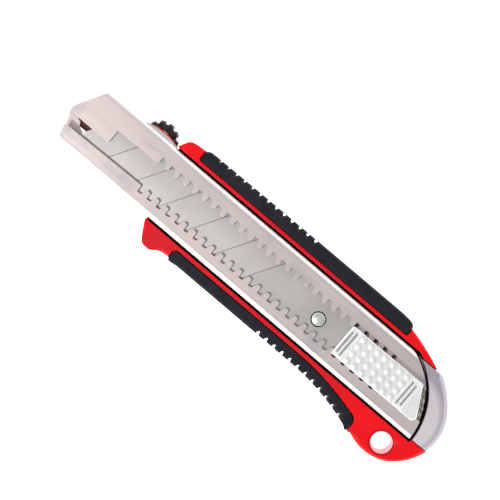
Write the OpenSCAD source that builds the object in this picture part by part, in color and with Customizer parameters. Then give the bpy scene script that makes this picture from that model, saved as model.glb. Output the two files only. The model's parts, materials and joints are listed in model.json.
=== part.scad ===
// Snap-off utility knife: steel guide that pulls out of a two-shell handle,
// 25 mm scored blade on a sliding carrier, sprung cover, clamp wheel and pull-off end cap.
// Frame: -X towards the blade tip, +Y towards the spine side, +Z out of the slider face, Z 0 on the back.

/* [Guide] */
// Outside width of the steel guide
guide_w = 26.9; // [26.8:0.1:27.1]
// Outside height of the steel guide
guide_h = 5.2; // [5.1:0.1:5.3]
// Sheet thickness of the guide
guide_wall = 0.8; // [0.7:0.05:0.85]
// Outside radius of the rolled edges
guide_bend = 1.8; // [1.5:0.1:2]
// Height of the guide's underside above the back of the handle
guide_z = 8.2; // [8.2:0.1:8.4]
// Offset of the guide's centre line towards the spine
guide_y = 3.15; // [3:0.05:3.3]
// Distance that the guide pulls out
guide_travel = 25; // [15:1:25]

/* [Lock teeth] */
// Pitch of the notches in both lips
notch_pitch = 4.6; // [4.5:0.1:4.7]
// Number of notches in each lip
notch_count = 26; // [20:1:26]
// Depth of a notch
notch_depth = 2.7; // [2.3:0.1:2.8]

/* [Blade] */
// Blade width
blade_w = 25; // [24.8:0.1:25]
// Blade thickness
blade_t = 0.7; // [0.5:0.05:0.7]
// Blade length from tip to rear edge
blade_len = 131; // [126:1:131]
// Distance between score lines
segment = 14; // [12:0.5:14.5]
// Angle of the score lines from the edge
score_angle = 59; // [55:1:62]
// Radius of the hole for the blade peg
blade_hole_r = 3.05; // [2.9:0.05:3.2]

/* [Slider] */
// Length of the cover along its spine edge
cover_len = 34.3; // [33:0.1:34.5]
// Width of the cover
cover_w = 13.4; // [12.8:0.1:13.6]
// Travel of the cover when it is pressed
press_travel = 0.5; // [0.3:0.1:0.5]
// Rows of grip bumps across the cover
bump_rows = 4; // [3:1:4]
// Columns of grip bumps along the cover
bump_cols = 7; // [5:1:7]

/* [Handle] */
// Height of the red shell's rim
rim_z = 12.9; // [12.5:0.1:13]
// Height of the joint between front shell and back cover
split_z = 6.4; // [6:0.1:6.4]
// Open gap beside the guide
side_gap = 0.95; // [0.8:0.05:1]
// Depth of the rubber over the plastic core
grip_depth = 2.2; // [1.8:0.1:2.4]
// Pitch of the ribs moulded in the rubber
rib_pitch = 3.95; // [3.8:0.05:4.1]
// Radius of the lanyard hole
lanyard_r = 3.9; // [3.5:0.1:4]

/* [Clamp wheel] */
// Radius of the wheel over its lobes
wheel_r = 7.2; // [6.8:0.1:7.2]
// Number of lobes
wheel_lobes = 11; // [9:1:14]
// Height of the wheel
wheel_h = 4.1; // [3.8:0.1:4.1]

/* [Hidden] */
$fn = 64;
eps = 0.01;
slack = 0.1;             // running clearance between sliding faces
fit = 0.02;              // clearance of a pin in its own hole

// Lips of the guide, measured from its centre line
lip_spine = 4.8;         // inner edge of the spine lip
lip_edge = -5.8;         // inner edge of the cutting-edge lip
tab_edge = -1.6;         // inner edge of the wide front tab
lip_flare = [0.3, 0.8];  // the plain front parts of the lips stand this much inward and outward
tab_x = -74.3;           // rear end of the wide front tab
notch_x = -54;           // steep side of the first notch in the cutting-edge lip
notch_lead = 0.55;       // the spine notches sit this much further forward

// Ends of the guide and of the cap, seen from above
guide_tip_x = -94.2;
cap_in = [57.3, -10.8];
cap_in_r = 29.5;
guide_rear_r = cap_in_r - 0.9;
cap_out = [76, -5];      // rear outline: a tight arc low down and a wider one above
cap_out_r = 19;
cap_wide_r = 35;
cap_join = 33.8;         // direction in which the two arcs meet
cap_top_y = 16.1;
cap_low_y = -9.8;
cap_screw_spots = [[85.5, 8], [90.2, -3]];
prong_z = [2.4, 4.8];
clip_ball = [69.5, 7.5];

// Heights inside the guide
lip_z = guide_z + guide_h - guide_wall;
guide_top = guide_z + guide_h;
carrier_z = guide_z + 2.05;
carrier_t = 1;
blade_z = carrier_z + carrier_t + slack;
blade_tip_x = -88.9;
peg = [30.2, guide_y - 1.1];
peg_r = 2.6;
core_z = [carrier_z + carrier_t, lip_z - 0.05];
leaf_z = [lip_z + 0.05, guide_top - 0.05];

// Slider cover
cover_x = 41.9;
cover_y = guide_y - 0.8;
cover_z = [guide_top + press_travel + slack, guide_top + 2.8];
cover_skin = 1;
cover_skirt = 0.9;
post_x = [50, 70];
post_r = 1.5;
rivet_x = [57, 64];
rivet_r = 1.1;
bump_pitch = 3.6;
bump_r = 1.25;
bump_rise = 0.35;
spring_wire_r = 0.17;
spring_r = 3;
spring_turns = 3;

// Handle
floor_top = guide_z - 0.2;
trough = [guide_y - guide_w / 2 - side_gap, guide_y + guide_w / 2 + side_gap];
tongue_z = 5.2;
grip_top = 13.2;
grip_low = 1;
grip_cover = 2;          // rubber that laps over the top of the core
grip_groove = 0.3;       // open groove between the rubber and the rim
spine_out = 24.65;       // outermost line of the spine grip
spine_in = 19.3;         // inner line of the spine grip
spine_grip_x = [-43.7, 59.8];
edge_out = -17.6;        // outermost line of the straight part of the edge grip
edge_in = -13.1;         // inner line of the straight part of the edge grip
spine_rear = [43.6, -56.1];
spine_rear_r = 80.1;     // long arc of the arm over the end cap
edge_bend_x = 33;        // the edge side starts to curve outward here
edge_bow = 0.0054;       // and falls away with the square of the distance
edge_grip_end = [62.6, -20.2];
edge_grip_r = 2.95;      // rounding of the grip's rear end
grip_bow = 0.0048;       // the grip's inner line falls away less
lobe = [75.66, -6.3];    // round rear lobe: a low arc and a wider rear one
lobe_r = 18.84;
lobe_rear = [71.15, -2.33];
lobe_rear_r = 24.62;
lobe_join = [-60, -54.5];  // direction of the joint seen from each arc's centre
lanyard = [78.7, -18.2];
lanyard_rim = 0.7;
guide_screw_x = [-20, 20];
bush_r = 2.5;
screw_spots = [[-47.5, 20], [8, 19.9], [61, 19.6], [-37.5, -15.4], [14, -13.2], [88, -13]];
screw_head_r = 1.85;
screw_r = 1.1;
nut_t = 2;

// Clamp
clamp = [-61, guide_y + 12.15];
stud_r = 2;
jaw_arc_r = 27;
jaw_half = 7.1;
jaw_out = 14.85;         // furthest reach of the jaw from the guide's centre line
ear_out = 15.45;
ear_arc_r = 19;
jaw_base_z = [6.4, 7.9];
jaw_hook_z = [guide_z + guide_wall + slack, guide_z + 1.9];
jaw_slot_in = 11.6;      // inner side of the guide's slot for the jaw, from the centre line
wheel_z = 0.5;
washer_t = 0.45;
washer_r = 3.2;

// ---------------------------------------------------------------- helpers

// Points of an arc about c, from angle a to angle b in n steps
function arc(c, r, a, b, n = 12) = [for (i = [0 : n]) c + r * [cos(a + (b - a) * i / n), sin(a + (b - a) * i / n)]];

module slab(z0, z1) {
    translate([0, 0, z0]) linear_extrude(z1 - z0) children();
}

// Rectangle with round corners, centred, made only of squares and circles
module round_rect(w, h, r) {
    square([w - 2 * r, h], center = true);
    square([w, h - 2 * r], center = true);
    for (sx = [-1, 1], sy = [-1, 1]) translate([sx * (w / 2 - r), sy * (h / 2 - r)]) circle(r);
}

module box(low, high) {
    translate(low) cube(high - low);
}

module rod(spot, z0, z1, r) {
    translate([spot[0], spot[1], z0]) cylinder(h = z1 - z0, r = r);
}

// ---------------------------------------------------------------- guide

// One lock notch, steep at x 0 and rising in an S towards +x; y 0 is the tip line
module notch() {
    tip_r = 0.75;
    flat = 1.5;
    rise = 1.6;
    steps = 8;
    polygon(concat(
        [[flat + rise, -1], [-tip_r, -1]],
        arc([-tip_r, tip_r], tip_r, -90, 0, 4),
        [[0, notch_depth]],
        [for (i = [0 : steps]) [flat + rise * i / steps, notch_depth * (1 + cos(180 * i / steps)) / 2]]));
}

// The opening between the two lips
module lip_slot() {
    r = 0.8;
    polygon(concat(
        [[guide_tip_x - 2, lip_edge - lip_flare[1]], [guide_tip_x - 2, tab_edge + 1.2], [-93.3, tab_edge + 1.2]],
        arc([-92.1, tab_edge + 1.2], 1.2, 180, 270, 6),
        arc([tab_x - r, tab_edge + r], r, -90, 0, 6),
        arc([tab_x + r, lip_spine - lip_flare[0] - r], r, 180, 90, 6),
        [[notch_x - notch_lead - 0.75, lip_spine - lip_flare[0]], [notch_x, lip_spine],
         [cap_out[0] + cap_out_r, lip_spine], [cap_out[0] + cap_out_r, lip_edge], [notch_x, lip_edge]]));
    for (i = [0 : notch_count - 1]) {
        translate([notch_x - notch_lead + i * notch_pitch, lip_spine]) notch();
        translate([notch_x + i * notch_pitch, lip_edge]) mirror([0, 1]) notch();
    }
}

// Outline of the guide seen from above, front end slanted like the blade
module guide_plan() {
    half = guide_w / 2 + 1;
    intersection() {
        polygon([[-85.8, half], [-93.2, 1.6], [guide_tip_x, -1.4], [-91.5, -7.5], [-91.5, -8.5], [-89.6, -half],
                 [90, -half], [90, half]]);
        union() {
            translate([cap_in[0], cap_in[1] - guide_y]) circle(guide_rear_r, $fn = 128);
            translate([guide_tip_x, -half]) square([cap_in[0] - guide_tip_x, 2 * half]);
        }
    }
}

// Window in the back plate ahead of the blade tip
module front_window() {
    polygon(concat([[-90.4, -1.5], [-89.4, -2.1]], arc([-84.6, -1.2], 3.8, 200, 270, 8), [[-78, -5], [-78, 3], [-88, 3]]));
}

module guide_channel() {
    screw_slot_half = bush_r + slack;
    color([0.80, 0.79, 0.77]) translate([0, guide_y, 0]) difference() {
        intersection() {
            translate([guide_tip_x, 0, guide_z + guide_h / 2]) rotate([90, 0, 90]) linear_extrude(190) difference() {
                round_rect(guide_w, guide_h, guide_bend);
                round_rect(guide_w - 2 * guide_wall, guide_h - 2 * guide_wall, guide_bend - guide_wall);
            }
            slab(guide_z - 1, guide_top + 1) guide_plan();
        }
        slab(lip_z - 1, guide_top + 1) lip_slot();
        slab(guide_z - 1, guide_z + guide_wall + 0.5) front_window();
        slab(guide_z - 1, guide_z + guide_wall + 0.5) {
            for (x = [guide_screw_x[0], guide_screw_x[1] + guide_travel]) translate([x, 0]) circle(screw_slot_half);
            translate([guide_screw_x[0], -screw_slot_half])
                square([guide_screw_x[1] - guide_screw_x[0] + guide_travel, 2 * screw_slot_half]);
        }
        box([clamp[0] - jaw_half - 0.2, jaw_slot_in, guide_z - 1],
            [clamp[0] + jaw_half + guide_travel + 0.2, guide_w / 2 + 1, jaw_hook_z[1] + 0.15]);
    }
}

// ---------------------------------------------------------------- blade and carrier

module blade_outline() {
    lean = blade_w / tan(score_angle);
    polygon([[0, 0], [blade_len, 0], [blade_len, blade_w - 4], [blade_len - 4, blade_w], [lean, blade_w]]);
}

module blade() {
    score_w = 0.3;
    score_deep = 0.1;
    bevel_w = 3;
    color([0.70, 0.70, 0.69]) translate([blade_tip_x, guide_y - blade_w / 2, blade_z]) difference() {
        linear_extrude(blade_t) blade_outline();
        for (i = [1 : 6]) translate([i * segment, 0, blade_t - score_deep]) rotate([0, 0, score_angle])
            translate([-2, -score_w / 2, 0]) cube([blade_w + 10, score_w, 1]);
        for (face = [0, 1]) mirror([0, 0, face]) translate([-1, 0, face ? -blade_t / 2 : blade_t / 2])
            rotate([0, 90, 0]) rotate([0, 0, 90]) linear_extrude(blade_len + 2)
                polygon([[-1, 0.03], [0, 0.03], [bevel_w, blade_t / 2], [bevel_w, blade_t], [-1, blade_t]]);
        translate([peg[0] - blade_tip_x, peg[1] - guide_y + blade_w / 2, -1]) cylinder(h = 3, r = blade_hole_r);
    }
}

// Strip from x0 to the guide's curved rear end, gap short of it
module carrier_plan(x0, half, gap) {
    intersection() {
        translate([x0, -half]) square([100, 2 * half]);
        union() {
            translate([cap_in[0] - gap, cap_in[1] - guide_y]) circle(guide_rear_r, $fn = 128);
            translate([x0, -half]) square([cap_in[0] - x0, 2 * half]);
        }
    }
}

module blade_carrier() {
    half = blade_w / 2 - 0.1;
    nose_x = 28;
    color([0.58, 0.55, 0.52]) difference() {
        translate([0, guide_y, 0]) slab(carrier_z, carrier_z + carrier_t) {
            carrier_plan(nose_x, half, 0.6);
            translate([nose_x, 0]) circle(half);
        }
        rod(peg, carrier_z - 1, carrier_z + 3, peg_r + fit);
        for (x = rivet_x) rod([x, cover_y], carrier_z - 1, carrier_z + 3, rivet_r + fit);
    }
}

module blade_peg() {
    dome_h = 0.5;
    color("white") {
        rod(peg, carrier_z, guide_top - 0.75, peg_r);
        translate([peg[0], peg[1], guide_top - 0.75]) intersection() {
            translate([0, 0, dome_h - dome_r(peg_r, dome_h)]) sphere(dome_r(peg_r, dome_h));
            cylinder(h = dome_h, r = peg_r);
        }
    }
}

// Radius of the ball whose cap has this base radius and height
function dome_r(base, high) = (base * base + high * high) / (2 * high);

// ---------------------------------------------------------------- slider

module slider_core() {
    color([0.35, 0.33, 0.32]) difference() {
        translate([0, guide_y, 0]) slab(core_z[0], core_z[1]) carrier_plan(43.2, 8.5, 1);
        for (x = rivet_x) rod([x, cover_y], carrier_z, lip_z + 1, rivet_r + fit);
        for (x = post_x) rod([x, cover_y], carrier_z, lip_z + 1, post_r + fit);
    }
}

// Spring-steel leaf in the plane of the lips, with teeth in the notches on both sides
module lock_leaf() {
    gap = 0.15;
    first = 21;
    teeth = 4;
    half = 4.4;
    color([0.12, 0.12, 0.13]) difference() {
        translate([0, guide_y, 0]) slab(leaf_z[0], leaf_z[1]) {
            translate([cover_x + 0.8, lip_edge + 0.8]) square([30, lip_spine - lip_edge - 1.3]);
            for (i = [first : first + teeth]) {
                x = notch_x + i * notch_pitch;
                translate([x - notch_lead + gap, 0]) square([1.2, lip_spine + notch_depth - gap]);
                translate([x + gap, lip_edge - notch_depth + gap]) square([1.2, notch_depth + half]);
            }
        }
        for (x = rivet_x) rod([x, cover_y], lip_z - 1, guide_top + 1, rivet_r + fit);
        for (x = post_x) rod([x, cover_y], lip_z - 1, guide_top + 1, post_r + slack);
    }
}

module core_rivets() {
    color([0.6, 0.6, 0.6]) for (x = rivet_x) rod([x, cover_y], carrier_z, guide_top - 0.05, rivet_r);
}

module cover_posts() {
    color([0.7, 0.7, 0.7]) for (x = post_x) rod([x, cover_y], carrier_z + carrier_t, guide_top + 1.2, post_r);
}

// Closed coil swept along a helix, 8 sides to the wire
module coil(r, wire, h, turns) {
    sides = 8;
    per_turn = 20;
    rings = turns * per_turn;
    points = [for (i = [0 : rings], j = [0 : sides - 1])
        let (a = 360 * i / per_turn, b = 360 * j / sides, d = r + wire * cos(b))
        [d * cos(a), d * sin(a), wire + (h - 2 * wire) * i / rings + wire * sin(b)]];
    walls = [for (i = [0 : rings - 1], j = [0 : sides - 1])
        let (k = (j + 1) % sides)
        [i * sides + j, (i + 1) * sides + j, (i + 1) * sides + k, i * sides + k]];
    polyhedron(points, concat(walls, [[for (j = [0 : sides - 1]) j],
                                      [for (j = [sides - 1 : -1 : 0]) rings * sides + j]]), convexity = 6);
}

module cover_springs() {
    z0 = leaf_z[1] + fit;
    color("silver") for (x = post_x) translate([x, cover_y, z0])
        coil(spring_r, spring_wire_r, cover_z[1] - cover_skin - z0 - fit, spring_turns);
}

// Cover outline, inset by d, with the slanted rear edge and soft corners
module cover_plan(d = 0) {
    half = cover_w / 2 - d;
    r = max(0.9 - d, 0.1);
    tail = 1.7;
    slant = 5.6;
    front = cover_x + d;
    rear = cover_x + cover_len - d * 0.8;
    polygon(concat(
        arc([front + r, cover_y + half - r], r, 180, 90, 6),
        [[rear, cover_y + half]],
        arc([rear + slant - tail * 0.6, cover_y - half + tail], tail, 24, -90, 8),
        arc([front + r, cover_y - half + r], r, 270, 180, 6)));
}

module cover_slot(x, y, length, wide) {
    translate([x - wide / 2, y - length / 2]) square([wide, length]);
}

module slider_cover() {
    pad_len = 4.2;
    slot_deep = 0.45;
    color([0.93, 0.93, 0.94]) {
        difference() {
            union() {
                slab(cover_z[0], cover_z[1]) cover_plan();
                slab(cover_z[1] - eps, cover_z[1] + 0.25) intersection() {
                    cover_plan(0.35);
                    union() {
                        translate([cover_x, cover_y - 10]) square([pad_len, 20]);
                        translate([cover_x + 29.6, cover_y - 5.9]) square([4.3, 11.8]);
                    }
                }
            }
            slab(cover_z[0] - 1, cover_z[1] - cover_skin) cover_plan(cover_skirt);
            slab(cover_z[1] + 0.25 - slot_deep, cover_z[1] + 2) {
                cover_slot(cover_x + 1.3, cover_y, 10.2, 1.1);
                cover_slot(cover_x + 3, cover_y, 11.2, 1.1);
                cover_slot(cover_x + 30.9, cover_y, 11, 1);
                cover_slot(cover_x + 32.7, cover_y, 9.9, 1);
            }
            for (x = post_x) rod([x, cover_y], cover_z[0] - 1, cover_z[1] - cover_skin, post_r + 0.06);
        }
        for (x = post_x) difference() {
            rod([x, cover_y], guide_top + press_travel + 0.05, cover_z[1] - cover_skin + eps, 2.5);
            rod([x, cover_y], guide_top - 1, cover_z[1] - cover_skin, post_r + 0.06);
        }
        for (i = [0 : bump_cols - 1], j = [0 : bump_rows - 1])
            translate([cover_x + 6.6 + i * bump_pitch, cover_y + (j - (bump_rows - 1) / 2) * bump_pitch * 0.93,
                       cover_z[1] - eps])
                intersection() {
                    translate([0, 0, bump_rise - dome_r(bump_r, bump_rise)]) sphere(dome_r(bump_r, bump_rise), $fn = 48);
                    cylinder(h = bump_rise + 1, r = bump_r, $fn = 24);
                }
    }
}

// ---------------------------------------------------------------- handle

// Edge side of the handle, straight and then bowed outward
function edge_line(y, x, bow = edge_bow) = y - bow * pow(max(x - edge_bend_x, 0), 2);

// Edge-side points from x0 to x1 at a depth y
function edge_run(y, x0, x1, bow = edge_bow, n = 14) =
    [for (i = [0 : n]) let (x = x0 + (x1 - x0) * i / n) [x, edge_line(y, x, bow)]];

// Plastic core of the spine side, in and behind the rubber
module spine_core_plan() {
    difference() {
        polygon(concat(
            [[-53.2, trough[1] - 1], [-53.2, trough[1]], [-52.2, 19.7], [-51.2, 21.4], [-50.2, 22.4], [-48.3, 22.9]],
            [[-43.9, 23.2], [-43.9, spine_out - grip_depth], [60, spine_out - grip_depth]],
            arc(spine_rear, spine_rear_r, 78.2, 65.1, 10),
            [[77.3, cap_top_y + 0.4], [70.6, cap_top_y + 0.4], [67.8, trough[1]], [60, trough[1] - 1]]));
        translate([-60, trough[1] - 10]) square([128, 10]);
    }
}

// Plastic core of the edge side, with the finger stop and the round rear lobe
module edge_core_plan() {
    intersection() {
        union() {
            polygon(concat(
                [[-45.2, trough[0]], [-41.5, -17.8]],
                arc([-39.3, -18], 1.7, 205, 270, 5), [[-36.9, -19.7]],
                arc([-36.6, -18.9], 0.8, 270, 310, 3), arc([-30.6, -20.8], 3.8, 125, 95, 4), [[-29.1, -16.8]],
                edge_run(edge_out + grip_depth, -28.8, 65.9),
                [[66.2, edge_line(edge_out, 66.2)], [72, -20], [72, trough[0]]]));
            intersection() {
                polygon(concat(arc(lobe, lobe_r, -150, lobe_join[0], 28),
                               arc(lobe_rear, lobe_rear_r, lobe_join[1], 10, 24), [lobe]));
                translate([66, -30]) square([30, 30 + cap_low_y - 0.35]);
            }
        }
        union() {
            translate([-60, -30]) square([148, 30 + trough[0]]);
            translate([86.7, -30]) square([10, 30 + cap_low_y - 0.35]);
        }
    }
}

module grip_ribs(x0, count, y, deep, bowed) {
    for (i = [0 : count - 1]) {
        x = x0 + i * rib_pitch;
        turn = bowed ? -atan(2 * edge_bow * max(x - edge_bend_x, 0)) : 0;
        translate([x, bowed ? edge_line(y, x) : y]) rotate(turn) translate([-0.65, -deep]) square([1.3, 2 * deep]);
    }
}

module spine_grip_plan() {
    r = 2.2;
    inner_r = 1;
    end_r = 2.4;
    bow = 0.00006;
    ends = spine_grip_x;
    difference() {
        polygon(concat(
            arc([ends[0] + r, spine_out - 0.5 - r], r, 180, 90, 6),
            [for (i = [1 : 12]) let (x = -42 + i * 7.8) [x, spine_out - bow * pow(x - 45, 2)]],
            arc([ends[1] - end_r, spine_out - 0.3 - end_r], end_r, 90, 0, 6),
            arc([ends[1] - inner_r, spine_in + inner_r], inner_r, 0, -90, 4),
            arc([ends[0] + inner_r, spine_in + inner_r], inner_r, 270, 180, 4)));
        grip_ribs(-37.1, 13, spine_out, 1.3, false);
    }
}

module edge_grip_plan() {
    difference() {
        polygon(concat(
            [[-28.5, edge_in - 0.8], [-27.2, edge_in]],
            edge_run(edge_in, -20, 61.5, grip_bow),
            arc(edge_grip_end, edge_grip_r, 65, 0, 6),
            arc([edge_grip_end[0] + edge_grip_r - 0.8, -22.9], 0.8, 0, -80, 4),
            edge_run(edge_out, 63.5, -24),
            [[-27.2, edge_out - 0.4], [-28.2, edge_out - 0.3], [-28.8, edge_out + 0.7]]));
        grip_ribs(16.1, 12, edge_out, 1, true);
    }
}

// Rubber skin: full outline, less the plastic core under it
module grip_solid() {
    difference() {
        slab(grip_low, grip_top) children(0);
        slab(grip_low - 1, rim_z - grip_cover) children(1);
    }
}

module spine_grip() {
    color([0.17, 0.18, 0.20]) grip_solid() {
        spine_grip_plan();
        translate([-60, 0]) square([130, spine_out - grip_depth]);
    }
}

module edge_grip() {
    color([0.17, 0.18, 0.20]) grip_solid() {
        edge_grip_plan();
        polygon(concat([[-50, 0]], edge_run(edge_out + grip_depth, -50, 80), [[80, 0]]));
    }
}

// Forward tongue under the guide, with an ear at the clamp
module tongue_plan() {
    polygon([[-40, guide_y - 12.4], [-76, guide_y - 12.4], [-80, guide_y - 4.2], [-89.6, guide_y - 4.2],
             [-90.4, guide_y - 1], [-85.5, guide_y + 12.4], [-40, guide_y + 12.4]]);
    intersection() {
        translate([clamp[0], guide_y + ear_out - ear_arc_r]) circle(ear_arc_r, $fn = 128);
        translate([clamp[0] - 9.5, guide_y]) square([19, 20]);
    }
}

// Shelves that close the gaps beside the guide ahead of the floor
module sill_plan() {
    translate([-52.6, guide_y + 12]) square([9, trough[1] + 0.2 - guide_y - 12]);
    translate([-45.1, trough[0] - 0.1]) square([1, 2]);
}

// Crescent behind the cap's inner arc, where the handle ends
module cap_zone(gap) {
    difference() {
        translate([60, cap_low_y - 0.35]) square([40, cap_top_y + 0.75 - cap_low_y]);
        translate(cap_in) circle(cap_in_r - gap, $fn = 128);
    }
}

module core_plans() {
    spine_core_plan();
    edge_core_plan();
}

// Floor between the two sides, from x0 to the cap's inner arc
module floor_plan(x0, gap) {
    band = [trough[0] - 1, trough[1] + 0.5];
    intersection() {
        translate([x0, band[0]]) square([120, band[1] - band[0]]);
        union() {
            translate(cap_in) circle(cap_in_r - gap, $fn = 128);
            translate([x0, band[0]]) square([cap_in[0] - x0, band[1] - band[0]]);
        }
    }
}

module handle_shell() {
    color([0.85, 0.05, 0.07]) difference() {
        union() {
            difference() {
                slab(split_z, rim_z) core_plans();
                slab(rim_z - grip_cover, rim_z + 1) grip_pocket();
                slab(split_z - 1, rim_z + 1) cap_zone(0.3);
            }
            slab(split_z, floor_top) floor_plan(-44.5, 0.3);
            slab(split_z, floor_top) sill_plan();
            slab(tongue_z, floor_top) tongue_plan();
        }
        // pocket for the jaw and hole for its stud
        slab(jaw_base_z[0] - slack, floor_top + 1) jaw_plan(0.12);
        rod(clamp, tongue_z - 1, floor_top + 1, stud_r + slack);
        for (x = guide_screw_x) rod([x, guide_y], split_z - 1, floor_top + 1, 1.5 + fit);
        for (p = screw_spots) rod(p, split_z - 1, split_z + 4.2, screw_r + fit);
        lanyard_cut(split_z - 1, rim_z);
    }
}

// Pockets in the rim for the rubber, a groove wider than the rubber all round
module grip_pocket() {
    translate([spine_grip_x[0] - grip_groove / 2, spine_in - grip_groove])
        square([spine_grip_x[1] - spine_grip_x[0] + grip_groove, 6]);
    rear = edge_grip_end[0] + edge_grip_r + grip_groove;
    polygon(concat([[-28.7, edge_in - 0.6], [-27.4, edge_in + grip_groove]],
                   edge_run(edge_in + grip_groove, -20, 61.5, grip_bow),
                   arc(edge_grip_end, edge_grip_r + grip_groove, 65, 0, 6), [[rear, -30], [-29, -30]]));
}

module lanyard_cut(z0, z1) {
    rod(lanyard, z0 - 1, z1 + 1, lanyard_r);
    translate([lanyard[0], lanyard[1], z1 - lanyard_rim])
        cylinder(h = lanyard_rim + eps, r1 = lanyard_r, r2 = lanyard_r + lanyard_rim);
}

module back_cover() {
    wall = 2.2;
    color([0.80, 0.05, 0.07]) difference() {
        union() {
            slab(0, split_z - 0.05) difference() {
                core_plans();
                cap_zone(0.3);
            }
            slab(0, split_z - 0.05) floor_plan(-44.5, 0.3);
        }
        // space between the shells, open to the rear for the cap's prongs
        slab(wall, split_z + 1) translate([-42, trough[0] + 1.5]) square([160, trough[1] - trough[0] - 3]);
        // room for the root of the tongue
        box([-60, guide_y - 12.6, tongue_z - slack], [-39.8, guide_y + 12.6, split_z + 1]);
        for (p = screw_spots) {
            rod(p, -1, split_z + 1, screw_r + slack);
            rod(p, -1, 1.3, screw_head_r + slack);
        }
        lanyard_cut(0, split_z + 3);
        mirror([0, 0, 1]) translate([lanyard[0], lanyard[1], -lanyard_rim])
            cylinder(h = lanyard_rim + eps, r1 = lanyard_r, r2 = lanyard_r + lanyard_rim);
    }
}

// Pan head from z0 to z1 and shank up to z2, with a cross recess in the underside
module back_screw(p, z0, z1, z2, head, shank) {
    difference() {
        union() {
            rod(p, z0, z1, head);
            rod(p, z1, z2, shank);
        }
        for (a = [0, 90]) translate([p[0], p[1], z0]) rotate(a) cube([1.3 * head, 0.5, 1.2], center = true);
    }
}

module body_screws() {
    color([0.35, 0.35, 0.37]) for (p = screw_spots) back_screw(p, 0.3, 1.3, split_z + 4, screw_head_r, screw_r);
}

module guide_screws() {
    color([0.75, 0.75, 0.76]) for (x = guide_screw_x) difference() {
        union() {
            rod([x, guide_y], guide_z + guide_wall + slack, guide_z + 1.95, 4.4);
            rod([x, guide_y], split_z - nut_t - 0.3, guide_z + guide_wall + 0.2, 1.5);
        }
        translate([x, guide_y, guide_z + 1.95]) cube([4, 0.8, 1], center = true);
    }
}

module guide_nuts() {
    color([0.7, 0.7, 0.7]) for (x = guide_screw_x) difference() {
        translate([x, guide_y, split_z - nut_t - 0.05]) cylinder(h = nut_t, r = 3.1, $fn = 6);
        rod([x, guide_y], 0, split_z + 1, 1.5 + fit);
    }
}

module guide_bushes() {
    color([0.85, 0.75, 0.45]) for (x = guide_screw_x) difference() {
        rod([x, guide_y], floor_top, guide_z + guide_wall + slack, bush_r);
        rod([x, guide_y], floor_top - 1, guide_z + 3, 1.5 + fit);
    }
}

// ---------------------------------------------------------------- clamp

// Outline of the jaw, grown by d
module jaw_plan(d = 0) {
    intersection() {
        translate([clamp[0], guide_y + jaw_out - jaw_arc_r]) circle(jaw_arc_r + d, $fn = 128);
        translate([clamp[0] - jaw_half - d, guide_y + 8.5 - d]) square([2 * (jaw_half + d), 12]);
    }
}

// Steel jaw: base in the tongue, riser outside the guide and a hook over its back plate
module clamp_jaw() {
    wall_out = guide_y + guide_w / 2 + 0.2;
    color([0.9, 0.9, 0.9]) difference() {
        union() {
            slab(jaw_base_z[0], jaw_base_z[1]) jaw_plan();
            slab(jaw_base_z[0], jaw_hook_z[1]) intersection() {
                jaw_plan();
                translate([clamp[0] - 10, wall_out]) square([20, 10]);
            }
            slab(jaw_hook_z[0], jaw_hook_z[1]) intersection() {
                jaw_plan();
                translate([clamp[0] - 6, guide_y + 10]) square([12, 10]);
            }
        }
        rod(clamp, jaw_base_z[0] - 1, jaw_base_z[1] + fit, stud_r + fit);
    }
}

module clamp_stud() {
    color([0.7, 0.7, 0.72]) rod(clamp, 1.3, jaw_base_z[1], stud_r);
}

module clamp_washer() {
    color([0.8, 0.8, 0.8]) difference() {
        rod(clamp, tongue_z - washer_t - 0.05, tongue_z - 0.05, washer_r);
        rod(clamp, 0, tongue_z + 1, stud_r + slack);
    }
}

module clamp_wheel() {
    notch_r = 0.85;
    insert_r = 3.4;
    first = 5.4;
    top = wheel_z + wheel_h;
    color([0.08, 0.08, 0.09]) difference() {
        union() {
            rod(clamp, wheel_z + 0.8, top, wheel_r);
            translate([clamp[0], clamp[1], wheel_z]) cylinder(h = 0.8, r1 = wheel_r - 0.9, r2 = wheel_r);
        }
        for (i = [0 : wheel_lobes - 1])
            translate([clamp[0], clamp[1], 0]) rotate(i * 360 / wheel_lobes + first) translate([wheel_r + 0.15, 0, -1])
                cylinder(h = 10, r = notch_r);
        rod(clamp, wheel_z + 0.7, top + 1, insert_r + fit);
    }
}

module wheel_insert() {
    color([0.8, 0.65, 0.3]) difference() {
        rod(clamp, wheel_z + 0.7, wheel_z + wheel_h, 3.4);
        rod(clamp, 0, 10, stud_r + 0.05);
    }
}

// ---------------------------------------------------------------- end cap

module cap_plan() {
    intersection() {
        difference() {
            polygon(concat(arc(cap_out, cap_out_r, -30, cap_join, 24),
                           arc(cap_out - (cap_wide_r - cap_out_r) * [cos(cap_join), sin(cap_join)],
                               cap_wide_r, cap_join, 70, 20), [[60, -15]]));
            translate(cap_in) circle(cap_in_r, $fn = 128);
        }
        translate([60, cap_low_y]) square([40, cap_top_y - cap_low_y]);
    }
}

module cap_front() {
    color([0.72, 0.72, 0.74]) difference() {
        slab(split_z, guide_top - 0.3) cap_plan();
        for (p = cap_screw_spots) rod(p, split_z - 1, split_z + 3.2, 1 + fit);
    }
}

module cap_back() {
    color([0.66, 0.66, 0.68]) difference() {
        union() {
            slab(0, split_z - 0.1) cap_plan();
            slab(prong_z[0], prong_z[1]) difference() {
                translate([66, -5]) square([22, 14]);
                translate([60, -2]) square([14, 8]);
            }
        }
        for (p = cap_screw_spots) {
            rod(p, -1, split_z + 1, 1 + fit);
            rod(p, -1, 1.2, 2 + slack);
        }
        // dimple that the clip snaps into
        rod(clip_ball, prong_z[1] - 0.6, prong_z[1] + 1, 0.8);
    }
}

module cap_screws() {
    color([0.35, 0.35, 0.37]) for (p = cap_screw_spots) back_screw(p, 0.3, 1.2, split_z + 3, 2, 1);
}

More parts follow.
